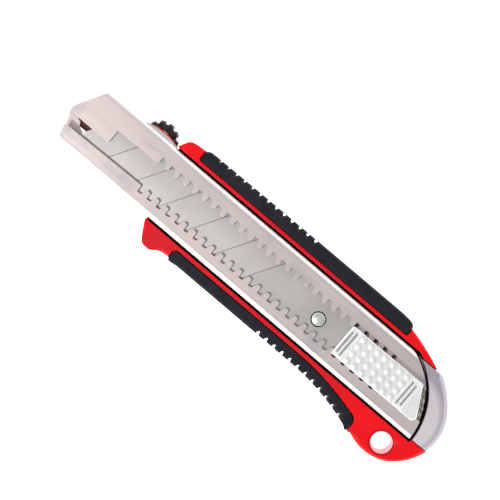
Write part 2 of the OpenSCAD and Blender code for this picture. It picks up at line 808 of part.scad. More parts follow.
// Leaf spring under the shell floor that snaps into the cap's prong
module cap_clip() {
    ball_r = 0.7;
    color([0.8, 0.8, 0.82]) {
        box([48, clip_ball[1] - 1.5, split_z - 0.5], [73, clip_ball[1] + 1.5, split_z - 0.1]);
        translate([clip_ball[0], clip_ball[1], prong_z[1] + 0.3]) sphere(ball_r, $fn = 32);
        rod(clip_ball, prong_z[1] + 0.3, split_z - 0.3, ball_r);
    }
}

// ---------------------------------------------------------------- assembly

handle_shell();
back_cover();
spine_grip();
edge_grip();
guide_channel();
guide_screws();
guide_bushes();
guide_nuts();
body_screws();
clamp_jaw();
clamp_stud();
clamp_washer();
clamp_wheel();
wheel_insert();
blade();
blade_carrier();
blade_peg();
slider_core();
lock_leaf();
core_rivets();
cover_posts();
cover_springs();
slider_cover();
cap_front();
cap_back();
cap_screws();
cap_clip();
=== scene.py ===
"""Looks of the snap-off utility knife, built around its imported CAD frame.

Outlines are in millimetres in the CAD frame: -X blade tip, +Y spine side, +Z out of the slider face."""
import json
import math

import bmesh
import bpy
from mathutils import Matrix, Vector, geometry, noise


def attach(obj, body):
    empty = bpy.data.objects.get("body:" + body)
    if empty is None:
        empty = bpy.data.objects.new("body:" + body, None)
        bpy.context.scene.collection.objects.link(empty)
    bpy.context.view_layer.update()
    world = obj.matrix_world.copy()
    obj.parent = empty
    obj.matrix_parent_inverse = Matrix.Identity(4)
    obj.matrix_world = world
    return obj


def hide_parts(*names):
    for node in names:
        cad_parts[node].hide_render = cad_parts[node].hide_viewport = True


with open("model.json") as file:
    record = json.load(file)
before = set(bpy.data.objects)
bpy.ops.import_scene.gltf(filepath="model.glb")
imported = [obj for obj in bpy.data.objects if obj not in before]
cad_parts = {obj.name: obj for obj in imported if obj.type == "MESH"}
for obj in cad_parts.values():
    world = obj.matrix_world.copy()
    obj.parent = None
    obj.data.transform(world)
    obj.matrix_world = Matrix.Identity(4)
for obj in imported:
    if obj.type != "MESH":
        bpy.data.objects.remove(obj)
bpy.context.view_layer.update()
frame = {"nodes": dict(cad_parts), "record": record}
MM = 0.001

# ------------------------------------------------------------------ driving dimensions (mm)
GUIDE_Y = 3.15                    # centre line of the guide
TROUGH = (-11.25, 17.55)          # inner faces of the handle beside the guide
SPLIT = 6.4                       # joint between the two shells
RIM = 12.9                        # top of the red handle
LEDGE = 10.9                      # the rubber laps over the core above this height
FLOOR_TOP = 8.0                   # the guide slides above this
TONGUE_LOW, TONGUE_HALF = 5.2, 12.4
GUIDE_SCREW_X = (-20, 20)
CAP_IN, CAP_IN_R = (57.3, -10.8), 29.5
CAP_OUT, CAP_OUT_R, CAP_WIDE_R, CAP_JOIN = (76, -5), 19, 35, 33.8
CAP_Y, CAP_TOP, CAP_GAP = (-9.8, 16.1), 13.1, 0.3
BACK_GAP = 0.08                   # gap between the back cover and the cap
CAP_SHOULDER_SHADE = (14.8, 17.6)       # painted shade on the cap's outer shoulder deepens between these distances from CAP_OUT
LOBE, LOBE_R, LOBE_REAR, LOBE_REAR_R = (75.66, -6.3), 18.84, (71.15, -2.33), 24.62
LANYARD, LANYARD_R, LANYARD_RIM = (78.7, -18.2), 3.9, 0.7
SPINE_REAR, SPINE_REAR_R = (43.6, -56.1), 80.1
SPINE_OUT, SPINE_IN, SPINE_GRIP_X = 24.65, 19.3, (-43.7, 59.8)
EDGE_OUT, EDGE_IN, EDGE_BEND_X, EDGE_BOW, GRIP_BOW = -17.6, -13.1, 33, 0.0054, 0.0048
EDGE_GRIP_END, EDGE_GRIP_R = (62.6, -20.2), 2.95
GRIP_Z, GRIP_DEPTH, RIB_PITCH = (1, 13.2), 2.2, 3.95
GROOVE, GRIP_PLAY = 0.3, 0.15     # gaps between rubber and red: along its inner side, at its ends
SCREWS = [(-47.5, 20), (8, 19.9), (61, 19.6), (-37.5, -15.4), (14, -13.2), (88, -13)]
CAP_SCREWS = [(85.5, 8), (90.2, -3)]
CLAMP = (-61, 15.3)
WHEEL_R, WHEEL_LOBES, WHEEL_Z, WHEEL_FIRST = 7.2, 11, (0.5, 4.6), 5.4
BLADE_TIP, SEGMENT, SCORE_ANGLE = (-88.9, -9.35), 14, 59
PEG = (30.2, 2.05)
COVER_X, COVER_Y, COVER_LEN, COVER_HALF, COVER_Z = 41.9, 2.35, 34.3, 6.7, (14.0, 16.2)
COVER_SKIN, PAD_RISE, SLOT_DEEP = 1.0, 0.25, 0.45
POSTS, RIVETS = (50, 70), (57, 64)


# ------------------------------------------------------------------ outlines
def arc(centre, radius, start, end, steps=16):
    """Points of an arc, angles in degrees."""
    turns = [math.radians(start + (end - start) * i / steps) for i in range(steps + 1)]
    return [(centre[0] + radius * math.cos(a), centre[1] + radius * math.sin(a)) for a in turns]


def softened(points, radius, steps=5, sharp=12):
    """Closed outline with corners turned into curves; a point's own third value overrides the radius."""
    result = []
    for i, here in enumerate(points):
        p, a, b = (Vector(q[:2]) for q in (here, points[i - 1], points[(i + 1) % len(points)]))
        to_a, to_b = a - p, b - p
        if to_a.length < 1e-4 or to_b.length < 1e-4:
            continue
        turn = math.pi - to_a.angle(to_b)
        if math.degrees(turn) < sharp:
            result.append(tuple(p))
            continue
        r = here[2] if len(here) > 2 else radius
        reach = min(r * math.tan(turn / 2), 0.45 * to_a.length, 0.45 * to_b.length)
        if reach < 0.01:
            result.append(tuple(p))
            continue
        start, end = p + to_a.normalized() * reach, p + to_b.normalized() * reach
        for k in range(steps + 1):
            t = k / steps
            result.append(tuple(start * (1 - t) ** 2 + p * 2 * t * (1 - t) + end * t * t))
    return result


def edge_line(y, x, bow=EDGE_BOW):
    return y - bow * max(x - EDGE_BEND_X, 0) ** 2


def edge_run(y, x0, x1, bow=EDGE_BOW, steps=30):
    """The edge side's line, straight and then bowed outward."""
    return [(x, edge_line(y, x, bow)) for x in (x0 + (x1 - x0) * i / steps for i in range(steps + 1))]


def anticlockwise(loop):
    area = sum(a[0] * b[1] - b[0] * a[1] for a, b in zip(loop, loop[1:] + loop[:1]))
    return loop if area > 0 else loop[::-1]


def inward(loop):
    """Miter vectors pointing into an anticlockwise outline."""
    normals = []
    for i, here in enumerate(loop):
        a, p, b = Vector(loop[i - 1]), Vector(here), Vector(loop[(i + 1) % len(loop)])
        before, after = (p - a).normalized(), (b - p).normalized()
        first = Vector((-before.y, before.x))
        middle = (first + Vector((-after.y, after.x))).normalized()
        normals.append(middle / max(middle.dot(first), 0.5))
    return normals


# ------------------------------------------------------------------ solids
def new_object(name, vertices, faces):
    mesh = bpy.data.meshes.new(name)
    mesh.from_pydata([Vector(v) * MM for v in vertices], [], faces)
    obj = bpy.data.objects.new(name, mesh)
    bpy.context.scene.collection.objects.link(obj)
    return obj


def flat_cover(ring):
    """Triangles filling a flat ring, or the ring itself where its outline crosses itself."""
    whole = list(range(len(ring)))
    flat = [Vector(v[:2]) for v in ring]
    points, _, faces, origins, _, _ = geometry.delaunay_2d_cdt(flat, [], [whole], 1, 1e-6)
    if len(points) != len(ring) or any(len(origin) != 1 for origin in origins):
        return [whole]
    return [[origins[i][0] for i in face] for face in faces]


def ring_stack(name, rings):
    """Closed solid through rings of equal length, each seen anticlockwise from above, bottom ring first."""
    count = len(rings[0])
    faces = [tuple(reversed(face)) for face in flat_cover(rings[0])]
    for k in range(len(rings) - 1):
        a, b = k * count, (k + 1) * count
        faces += [(a + i, a + (i + 1) % count, b + (i + 1) % count, b + i) for i in range(count)]
    last = (len(rings) - 1) * count
    faces += [tuple(last + i for i in face) for face in flat_cover(rings[-1])]
    return new_object(name, [v for ring in rings for v in ring], faces)


def prism(name, loop, z0, z1):
    loop = anticlockwise(loop)
    return ring_stack(name, [[(x, y, z) for x, y in loop] for z in (z0, z1)])


def tight_places(points, inset, window=16):
    """Indices round which an inset outline folds back or crosses itself."""
    count, found = len(points), set()
    for i in range(count):
        j = (i + 1) % count
        edge = points[j] - points[i]
        if (inset[j] - inset[i]).dot(edge) < 0.08 * edge.length_squared:
            found.update((i, j))
        for gap in range(2, window):
            k = (i + gap) % count
            if geometry.intersect_line_line_2d(inset[i], inset[j], inset[k], inset[(k + 1) % count]):
                found.update((i + step) % count for step in range(gap + 2))
    return found


def tamed(loop, normals, radii):
    """Radii made smaller where the inset outline would cross itself, and graded from there."""
    radii = list(radii)
    points = [Vector(p) for p in loop]
    pairs = [(i, (i + 1) % len(points)) for i in range(len(points))]
    for _ in range(60):
        found = tight_places(points, [p + n * r for p, n, r in zip(points, normals, radii)])
        if not found:
            break
        for i in found:
            radii[i] *= 0.85
        for i, j in pairs + [(j, i) for i, j in reversed(pairs)]:
            radii[j] = min(radii[j], radii[i] + 0.8 * (points[j] - points[i]).length)
    return radii


def soft_slab(name, loop, z0, z1, low, high, steps=7):
    """Prism with rounded lower and upper edges; low and high are radii, or functions of the place."""
    loop = anticlockwise(loop)
    normals = inward(loop)
    rings = []
    for radius, base, sign in ((low, z0, 1), (high, z1, -1)):
        radii = tamed(loop, normals, [radius(*p) if callable(radius) else radius for p in loop])
        part = []
        for k in range(steps + 1):
            angle = math.pi / 2 * k / steps
            inset, rise = 1 - math.sin(angle), sign * (1 - math.cos(angle))
            part.append([(p[0] + n.x * r * inset, p[1] + n.y * r * inset, base + r * rise)
                         for p, n, r in zip(loop, normals, radii)])
        rings += part if sign > 0 else part[::-1]
    return ring_stack(name, rings)


def flared(name, loop, z0, top, lip, steps=4):
    """Cutter that leaves the cut's upper edge, at height top, rounded with radius lip."""
    loop = anticlockwise(loop)
    normals = inward(loop)
    rings = [[(x, y, z0) for x, y in loop]]
    for k in range(steps + 1):
        angle = math.pi / 2 * k / steps
        out = lip * (1 - math.cos(angle))
        rings.append([(p[0] - n.x * out, p[1] - n.y * out, top - lip + lip * math.sin(angle))
                      for p, n in zip(loop, normals)])
    rings.append([(x, y, top + 3) for x, y, _ in rings[-1]])
    return ring_stack(name, rings)


def lathe(name, centre, profile, segments=64):
    """Solid of revolution from a profile of (radius, z)."""
    turns = [2 * math.pi * i / segments for i in range(segments)]
    return ring_stack(name, [[(centre[0] + r * math.cos(a), centre[1] + r * math.sin(a), z) for a in turns]
                             for r, z in profile])


def block(name, low, high):
    (x0, y0, z0), (x1, y1, z1) = low, high
    return prism(name, [(x0, y0), (x1, y0), (x1, y1), (x0, y1)], z0, z1)


def merged(objects):
    """One object holding all the meshes, the separate objects removed."""
    joined = bmesh.new()
    for obj in objects:
        joined.from_mesh(obj.data)
    joined.to_mesh(objects[0].data)
    joined.free()
    for obj in objects[1:]:
        bpy.data.objects.remove(obj)
    return objects[0]


def combine(base, operation, others):
    """Applies one boolean per object and removes the operands."""
    for other in others:
        modifier = base.modifiers.new(operation, "BOOLEAN")
        modifier.operation = operation
        modifier.solver = "MANIFOLD"
        modifier.object = other
    mesh = bpy.data.meshes.new_from_object(base.evaluated_get(bpy.context.evaluated_depsgraph_get()))
    base.modifiers.clear()
    base.data = mesh
    for other in others:
        bpy.data.objects.remove(other)
    return base


def unite(base, *others):
    return combine(base, "UNION", others)


def cut(base, *others):
    return combine(base, "DIFFERENCE", others)


# ------------------------------------------------------------------ node material helpers
class Shader:
    """A small builder for one procedural material."""

    def __init__(self, name):
        self.mat = bpy.data.materials.new(name)
        self.mat.use_nodes = True
        self.tree = self.mat.node_tree
        self.bsdf = self.tree.nodes["Principled BSDF"]
        self.coords = self.tree.nodes.new("ShaderNodeTexCoord").outputs["Object"]

    def node(self, kind, **settings):
        made = self.tree.nodes.new(kind)
        for key, value in settings.items():
            if hasattr(made, key):
                setattr(made, key, value)
            else:
                made.inputs[key].default_value = value
        return made

    def link(self, source, target):
        self.tree.links.new(source, target)

    def set(self, **values):
        for key, value in values.items():
            self.bsdf.inputs[key.replace("_", " ")].default_value = value

    def feed(self, value, socket):
        """Links a socket or sets a number or colour."""
        if isinstance(value, bpy.types.NodeSocket):
            self.link(value, socket)
        elif isinstance(value, (int, float)):
            socket.default_value = value
        else:
            socket.default_value = (*value, 1)

    def stretched(self, scale):
        mapping = self.node("ShaderNodeMapping")
        mapping.inputs["Scale"].default_value = scale
        self.link(self.coords, mapping.inputs["Vector"])
        return mapping.outputs["Vector"]

    def noise(self, vector, scale, detail=3.0, rough=0.55):
        made = self.node("ShaderNodeTexNoise", Scale=scale, Detail=detail, Roughness=rough)
        self.link(vector, made.inputs["Vector"])
        return made.outputs["Fac"]

    def span(self, value, low, high, from_low=0.3, from_high=0.7):
        """From low to high, clamped, while the value goes through its range; the default suits a noise."""
        made = self.node("ShaderNodeMapRange")
        limits = {"From Min": from_low, "From Max": from_high, "To Min": low, "To Max": high}
        for key, number in limits.items():
            made.inputs[key].default_value = number
        self.link(value, made.inputs["Value"])
        return made.outputs["Result"]

    def math(self, operation, a, b):
        made = self.node("ShaderNodeMath", operation=operation)
        for socket, value in zip(made.inputs, (a, b)):
            self.feed(value, socket)
        return made.outputs[0]

    def above(self, value, limit):
        return self.math("GREATER_THAN", value, limit)

    def below(self, value, limit):
        return self.math("LESS_THAN", value, limit)

    def either(self, a, b):
        return self.math("MAXIMUM", a, b)

    def all_of(self, *values):
        result = values[0]
        for value in values[1:]:
            result = self.math("MULTIPLY", result, value)
        return result

    def off(self, letter, centre):
        """Distance along one axis, either way, from a place given in millimetres."""
        return self.math("ABSOLUTE", self.math("SUBTRACT", self.axis(letter), centre * MM), 0)

    def axis(self, letter):
        made = self.node("ShaderNodeSeparateXYZ")
        self.link(self.coords, made.inputs[0])
        return made.outputs[letter]

    def normal(self, letter):
        split = self.node("ShaderNodeSeparateXYZ")
        self.link(self.tree.nodes.new("ShaderNodeTexCoord").outputs["Normal"], split.inputs[0])
        return split.outputs[letter]

    def distance(self, centre):
        """Distance in plan from an upright axis given in millimetres."""
        dx, dy = (self.math("ADD", self.axis(letter), -at * MM) for letter, at in zip("XY", centre))
        return self.math("SQRT", self.math("ADD", self.all_of(dx, dx), self.all_of(dy, dy)), 0)

    def mix(self, factor, a, b):
        made = self.node("ShaderNodeMix", data_type="RGBA")
        for socket, value in ((made.inputs[0], factor), (made.inputs[6], a), (made.inputs[7], b)):
            self.feed(value, socket)
        return made.outputs[2]

    def bump(self, height, strength, distance):
        made = self.node("ShaderNodeBump", Strength=strength, Distance=distance)
        self.link(height, made.inputs["Height"])
        self.link(made.outputs["Normal"], self.bsdf.inputs["Normal"])


def brushed(name, light, dark, along, rough, lines=1.0):
    """Steel with a fine grain along one axis and a faint cloudy tone."""
    s = Shader(name)
    grain = s.noise(s.stretched(tuple(14 if axis == along else 2400 for axis in "XYZ")), 1.0, 4, 0.65)
    cloud = s.noise(s.coords, 60, 4, 0.6)
    tone = s.mix(s.span(cloud, 0, 0.25), light, dark)
    tone = s.mix(s.span(grain, 0, 0.25 * lines), tone, dark)
    s.link(tone, s.bsdf.inputs["Base Color"])
    s.link(s.span(grain, rough - 0.05, rough + 0.08), s.bsdf.inputs["Roughness"])
    s.bump(grain, 0.12 * lines, 0.00002)
    s.set(Metallic=1.0)
    return s.mat


def moulded(name, colour, deep, rough, grain_scale=1500, metallic=0.0):
    """Injection-moulded plastic: fine spark texture, faint flow marks and a little tone change."""
    s = Shader(name)
    flow = s.noise(s.stretched((30, 90, 60)), 1.0, 3, 0.5)
    grain = s.noise(s.coords, grain_scale, 2, 0.6)
    s.link(s.mix(s.span(flow, 0, 0.8), colour, deep), s.bsdf.inputs["Base Color"])
    s.link(s.span(grain, rough - 0.04, rough + 0.06), s.bsdf.inputs["Roughness"])
    s.bump(grain, 0.2, 0.00002)
    s.set(Metallic=metallic)
    return s


def shell_red(name, colour, deep):
    """Red shell plastic with painted shade in the narrow gaps beside guide and cap, on the front of the
    tongue and in a ring round the lanyard hole, and painted light, pale pink, on the hole's wall.
    """
    s = moulded(name, colour, deep, 0.3)
    tone = s.bsdf.inputs["Base Color"].links[0].from_socket
    height, along, across = (s.axis(letter) for letter in "ZXY")
    strip = s.all_of(s.span(along, 1, 0, 0.040, 0.062), s.span(along, 0, 1, -0.044, -0.040), 0.5)
    # painted shade on the front of the tongue, which lies under the guide
    nose_shade = s.all_of(s.below(along, -0.079), s.above(height, 0.0078))

    # painted shade, near black and without specular, in the narrow gaps beside the guide and the cap
    low = s.all_of(s.span(height, 1, 0, 0.0112, 0.0125), s.above(height, 0.0062))
    wall, other_wall = (y * MM for y in TROUGH)
    between = s.all_of(s.span(across, 0, 1, wall - 0.00015, wall + 0.00005),
                       s.span(across, 1, 0, other_wall - 0.00005, other_wall + 0.00015))
    at_walls = s.either(s.below(across, (CAP_Y[0] + 0.3) * MM), s.above(across, (CAP_Y[1] - 0.3) * MM))
    at_cap = s.above(s.distance(CAP_IN), (CAP_IN_R - 1.1) * MM)
    off_stop = s.either(s.above(along, -0.0440), s.above(across, 0))
    off_tail = s.either(s.below(along, 0.0705), s.below(across, 0.0166))
    in_handle = s.all_of(s.above(along, -0.0525), s.below(along, 0.0935), off_stop, off_tail)
    shaded = s.all_of(low, between, s.either(at_walls, at_cap), in_handle)

    from_hole = s.distance(LANYARD)
    # painted light, pale pink, on the wall inside the lanyard hole
    lit_hole_wall = s.span(from_hole, 0.8, 0, 0.00425, 0.00435)
    # painted shade, a dark ring on the rounded rim round the lanyard hole
    ring = s.all_of(s.span(from_hole, 0, 0.75, 0.00435, 0.00455), s.span(from_hole, 1, 0, 0.00480, 0.00505))
    coats = ((nose_shade, (0.13, 0.035, 0.035)), (strip, (0.38, 0.012, 0.02)), (shaded, (0.02, 0.0006, 0.001)),
             (ring, (0.10, 0.001, 0.002)), (lit_hole_wall, (0.85, 0.52, 0.54)))
    for share, paint in coats:
        tone = s.mix(share, tone, paint)
    s.link(tone, s.bsdf.inputs["Base Color"])
    s.link(s.span(shaded, 0.16, 0.0, 0, 1), s.bsdf.inputs["Specular IOR Level"])
    return s.mat


def silver_cap(name):
    """Silver-grey painted plastic, with painted shade in mauve round the outer shoulder and painted shade,
    near black, on the inner wall.
    """
    s = moulded(name, (0.53, 0.505, 0.525), (0.48, 0.455, 0.475), 0.34, 2200, metallic=0.3)
    tone = s.bsdf.inputs["Base Color"].links[0].from_socket
    fleck = s.noise(s.coords, 5200, 2, 0.7)
    tone = s.mix(s.span(fleck, 0, 0.25), tone, (0.66, 0.66, 0.69))
    # painted shade, mauve, on the cap's sloping outer shoulder
    shoulder = s.span(s.distance(CAP_OUT), 0, 0.9, CAP_SHOULDER_SHADE[0] * MM, CAP_SHOULDER_SHADE[1] * MM)
    tone = s.mix(shoulder, tone, (0.29, 0.265, 0.31))
    # painted shade, near black, on the cap's inner wall beside the handle
    inner_wall_shade = s.all_of(s.span(s.distance(CAP_IN), 1, 0, 0.02960, 0.02985), s.above(s.axis("Z"), 0.0079))
    s.link(s.mix(inner_wall_shade, tone, (0.03, 0.028, 0.032)), s.bsdf.inputs["Base Color"])
    return s.mat


def guide_steel(name):
    """Satin sheet with painted bluish reflections, painted light towards the tip, a painted highlight along
    the rolled-over bends and painted shade on the notch walls, the rear cut and a line inside each bend.
    """
    s = Shader(name)
    grain = s.noise(s.stretched((14, 2400, 2400)), 1.0, 4, 0.65)
    reflection_smudge = s.noise(s.stretched((26, 60, 60)), 1.0, 5, 0.62)
    cloud = s.noise(s.coords, 45, 3, 0.5)
    tone = s.mix(s.span(cloud, 0, 1), (0.70, 0.595, 0.57), (0.62, 0.55, 0.54))
    # painted light towards the blade end of the guide
    lit_tip = s.span(s.axis("X"), 0.8, 0, -0.085, -0.045)
    tone = s.mix(lit_tip, tone, (0.86, 0.725, 0.70))
    # painted reflections: bluish dark smudges
    tone = s.mix(s.span(reflection_smudge, 0, 0.8, 0.53, 0.70), tone, (0.36, 0.385, 0.45))
    tone = s.mix(s.span(grain, 0, 0.3), tone, (0.47, 0.44, 0.43))
    off_centre = s.off("Y", GUIDE_Y)
    # painted shade in a line just inside each bend
    crease = s.all_of(s.span(off_centre, 0, 0.22, 0.0106, 0.0112), s.span(off_centre, 1, 0, 0.0114, 0.0118))
    tone = s.mix(crease, tone, (0.42, 0.40, 0.40))
    # painted shade, near black, on the notch walls and along the rear cut edge
    notch_wall = s.all_of(s.span(s.normal("Z"), 1, 0, 0.35, 0.75), s.below(off_centre, 0.0105))
    rear_cut = s.all_of(s.span(s.distance(CAP_IN), 0, 1, 0.02842, 0.02850), s.above(s.axis("X"), 0.057))
    edge_shade = s.either(notch_wall, rear_cut)
    tone = s.mix(s.all_of(edge_shade, 0.85), tone, (0.05, 0.045, 0.045))
    # painted highlight along the rolled-over bends: near white and less metallic from x -44 mm back, grey
    # ahead of x -58 mm
    bend_highlight = s.span(off_centre, 0, 1, 0.0117, 0.0124)
    bend_highlight_tone = s.mix(s.span(s.axis("X"), 0, 1, -0.058, -0.044), (0.56, 0.54, 0.535), (0.93, 0.925, 0.92))
    tone = s.mix(s.math("SUBTRACT", bend_highlight, s.all_of(edge_shade, bend_highlight)), tone, bend_highlight_tone)
    s.link(tone, s.bsdf.inputs["Base Color"])
    s.link(s.span(bend_highlight, 0.86, 0.15, 0, 1), s.bsdf.inputs["Metallic"])
    s.link(s.span(grain, 0.28, 0.40), s.bsdf.inputs["Roughness"])
    s.bump(grain, 0.12, 0.00002)
    return s.mat


def blade_steel(name):
    """Ground blade stock with dark score lines."""
    s = Shader(name)
    grain = s.noise(s.stretched((2400, 14, 2400)), 1.0, 4, 0.65)
    cloud = s.noise(s.coords, 70, 4, 0.6)
    tone = s.mix(s.span(cloud, 0, 1), (0.58, 0.545, 0.52), (0.50, 0.48, 0.47))
    tone = s.mix(s.span(grain, 0, 0.3), tone, (0.44, 0.43, 0.425))
    lean = math.radians(SCORE_ANGLE)
    x, y = (s.math("ADD", s.axis(letter), -at * MM) for letter, at in zip("XY", BLADE_TIP))
    across = s.math("SUBTRACT", s.all_of(x, math.sin(lean)), s.all_of(y, math.cos(lean)))
    segments = s.math("DIVIDE", across, SEGMENT * MM * math.sin(lean))
    from_line = s.math("SUBTRACT", s.math("FRACT", s.math("ADD", segments, 0.5), 0), 0.5)
    line = s.all_of(s.span(s.math("ABSOLUTE", from_line, 0), 1, 0, 0.006, 0.015),
                    s.below(segments, 6.5), s.above(segments, 0.5))
    s.link(s.mix(line, tone, (0.19, 0.155, 0.145)), s.bsdf.inputs["Base Color"])
    s.link(s.span(grain, 0.26, 0.38), s.bsdf.inputs["Roughness"])
    s.bump(grain, 0.12, 0.00002)
    s.set(Metallic=0.82)
    return s.mat


def plated(name):
    """Satin nickel plate with painted shade in the slots of both pads."""
    s = Shader(name)
    cloud = s.noise(s.coords, 220, 4, 0.6)
    grain = s.noise(s.coords, 2600, 3, 0.6)
    tone = s.mix(s.span(cloud, 0, 1), (0.96, 0.96, 0.965), (0.86, 0.87, 0.885))
    # painted shade in the sunk slots of both pads
    sunk = s.span(s.axis("Z"), 1, 0, (COVER_Z[1] + PAD_RISE - 0.30) * MM, (COVER_Z[1] + PAD_RISE - 0.12) * MM)
    along = s.math("ADD", s.axis("X"), -COVER_X * MM)
    on_pad, on_other = (s.all_of(s.above(along, start), s.below(along, end))
                        for start, end in ((0.0006, 0.0038), (0.0302, 0.0334)))
    slot_shade = s.all_of(sunk, s.below(s.off("Y", COVER_Y), 0.0057), s.either(on_pad, on_other))
    tone = s.mix(slot_shade, tone, (0.42, 0.42, 0.43))
    s.link(tone, s.bsdf.inputs["Base Color"])
    s.link(s.span(grain, 0.26, 0.38), s.bsdf.inputs["Roughness"])
    s.bump(grain, 0.12, 0.00002)
    s.set(Metallic=0.8)
    return s.mat


def grease_and_peg_shade(name):
    """Brown-grey stained carrier plate with painted shade, nearly black, in the band round the blade peg."""
    s = Shader(name)
    grain = s.noise(s.stretched((40, 1800, 1800)), 1.0, 4, 0.65)
    stain = s.noise(s.coords, 260, 5, 0.65)
    tone = s.mix(s.span(stain, 0, 1), (0.42, 0.36, 0.33), (0.17, 0.135, 0.12))
    tone = s.mix(s.span(grain, 0, 0.4), tone, (0.10, 0.08, 0.07))
    # painted shade, nearly black, in the band round the blade peg
    peg_shade = s.below(s.off("X", PEG[0]), 0.0042)
    s.link(s.mix(peg_shade, tone, (0.02, 0.018, 0.02)), s.bsdf.inputs["Base Color"])
    s.link(s.span(grain, 0.22, 0.36), s.bsdf.inputs["Roughness"])
    s.bump(stain, 0.3, 0.0001)
    s.set(Metallic=0.9)
    return s.mat


def creased_core(name):
    """Glossy brown-grey block with painted reflections in pale glints and dark crease-like patches."""
    s = Shader(name)
    # painted reflections: pale glints and dark patches
    glint_blotch = s.noise(s.coords, 900, 5, 0.7)
    fine = s.noise(s.coords, 3000, 3, 0.6)
    tone = s.mix(s.span(glint_blotch, 0, 1, 0.38, 0.62), (0.86, 0.76, 0.70), (0.16, 0.12, 0.105))
    s.link(tone, s.bsdf.inputs["Base Color"])
    s.link(s.span(fine, 0.14, 0.30), s.bsdf.inputs["Roughness"])
    s.bump(glint_blotch, 0.5, 0.00012)
    s.set(Metallic=0.75)
    return s.mat


def rubber(name):
    s = Shader(name)
    grain = s.noise(s.coords, 3000, 2, 0.7)
    patch = s.noise(s.coords, 160, 4, 0.6)
    tone = s.mix(s.span(patch, 0, 1), (0.0075, 0.0078, 0.0125), (0.013, 0.0135, 0.019))
    s.link(tone, s.bsdf.inputs["Base Color"])
    s.link(s.span(patch, 0.50, 0.62), s.bsdf.inputs["Roughness"])
    s.bump(grain, 0.35, 0.00003)
    s.set(Specular_IOR_Level=0.1)
    return s.mat


MATERIALS = {
    "red_plastic": shell_red("red_plastic", (0.68, 0.003, 0.007), (0.55, 0.002, 0.006)),
    "red_plastic_back": shell_red("red_plastic_back", (0.66, 0.003, 0.007), (0.55, 0.002, 0.006)),
    "grip_rubber": rubber("grip_rubber"),
    "guide_steel": guide_steel("guide_steel"),
    "blade_steel": blade_steel("blade_steel"),
    "carrier_steel": grease_and_peg_shade("carrier_steel"),
    "zinc_steel": brushed("zinc_steel", (0.90, 0.90, 0.92), (0.76, 0.76, 0.79), "X", 0.34),
    "bright_steel": brushed("bright_steel", (0.93, 0.93, 0.94), (0.84, 0.84, 0.86), "X", 0.24, lines=0.4),
    "dark_screw": brushed("dark_screw", (0.13, 0.13, 0.14), (0.07, 0.07, 0.075), "X", 0.38),
    # near-black spring steel; where it shows in the notches beside the slider it also stands in for the shade
    # there
    "spring_steel": brushed("spring_steel", (0.05, 0.05, 0.06), (0.02, 0.02, 0.028), "X", 0.36),
    "spring_wire": brushed("spring_wire", (0.62, 0.62, 0.63), (0.48, 0.48, 0.50), "Z", 0.28),
    "cover_metal": plated("cover_metal"),
    "brass": brushed("brass", (0.72, 0.52, 0.22), (0.58, 0.40, 0.16), "Z", 0.28),
    "black_plastic": moulded("black_plastic", (0.008, 0.008, 0.009), (0.014, 0.014, 0.015), 0.34, 2500).mat,
    "core_plastic": creased_core("core_plastic"),
    "cap_plastic": silver_cap("cap_plastic"),
    "cap_plastic_back": silver_cap("cap_plastic_back"),
}
SLOT_OF = {row["node"]: row["material_slot"] for row in frame["record"]["subparts"]}
BODY_OF = {node: body for body, nodes in frame["record"]["behaviour"]["bodies"].items() for node in nodes}


def make_angle_smoother(degrees):
    """Modifier group: smooth shading everywhere except across edges sharper than the angle."""
    group = bpy.data.node_groups.new("smooth_by_angle", "GeometryNodeTree")
    for in_out in ("INPUT", "OUTPUT"):
        group.interface.new_socket("Geometry", in_out=in_out, socket_type="NodeSocketGeometry")
    start, end = group.nodes.new("NodeGroupInput"), group.nodes.new("NodeGroupOutput")
    faces, edges = (group.nodes.new("GeometryNodeSetShadeSmooth") for _ in range(2))
    faces.domain, edges.domain = "FACE", "EDGE"
    angle = group.nodes.new("GeometryNodeInputMeshEdgeAngle")
    gentle = group.nodes.new("FunctionNodeCompare")
    gentle.operation = "LESS_EQUAL"
    gentle.inputs[1].default_value = math.radians(degrees)
    group.links.new(angle.outputs["Unsigned Angle"], gentle.inputs[0])
    group.links.new(gentle.outputs[0], edges.inputs["Shade Smooth"])
    group.links.new(start.outputs[0], faces.inputs["Geometry"])
    group.links.new(faces.outputs[0], edges.inputs["Geometry"])
    group.links.new(edges.outputs[0], end.inputs[0])
    return group


ANGLE_SMOOTHER = make_angle_smoother(47)


def shade(obj, bevel=0):
    """Small bevel on the sharp edges, smooth shading up to an angle, large faces kept flat."""
    if bevel:
        modifier = obj.modifiers.new("edge", "BEVEL")
        modifier.width = bevel * MM
        modifier.segments = 2
        modifier.limit_method = "ANGLE"
        modifier.angle_limit = math.radians(35)
    obj.modifiers.new("smooth", "NODES").node_group = ANGLE_SMOOTHER
    obj.modifiers.new("normals", "WEIGHTED_NORMAL").keep_sharp = True


def stand_for(obj, node):
    """Finishes a piece that replaces a CAD node: the material of the node's slot, shading, its body, and the
    node hidden.
    """
    slot = SLOT_OF[node]
    obj.data.materials.clear()
    obj.data.materials.append(MATERIALS[slot])
    shade(obj)
    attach(obj, BODY_OF[node])
    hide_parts(node)


def keep_cad(name, bevel):
    """A CAD node that stays: seams welded, flat facets dissolved, edges softened, material set."""
    obj = frame["nodes"][name]
    obj.data.materials.clear()
    obj.data.materials.append(MATERIALS[SLOT_OF[name]])
    obj.modifiers.new("weld", "WELD").merge_threshold = 0.002 * MM
    flat = obj.modifiers.new("flat", "DECIMATE")
    flat.decimate_type = "DISSOLVE"
    flat.angle_limit = math.radians(1)
    shade(obj, bevel)


# ------------------------------------------------------------------ handle
# the finger stop, from the guide's trough round to the start of the grip
STOP = [(-45.2, TROUGH[0], 0.2), (-43.06, -15.33), (-41.5, -17.8), (-40.3, -19.2), (-39, -19.7),
        (-36.6, -19.7), (-35.0, -18.9), (-33.6, -17.9), (-32.2, -17.35), (-29.1, -16.95)]
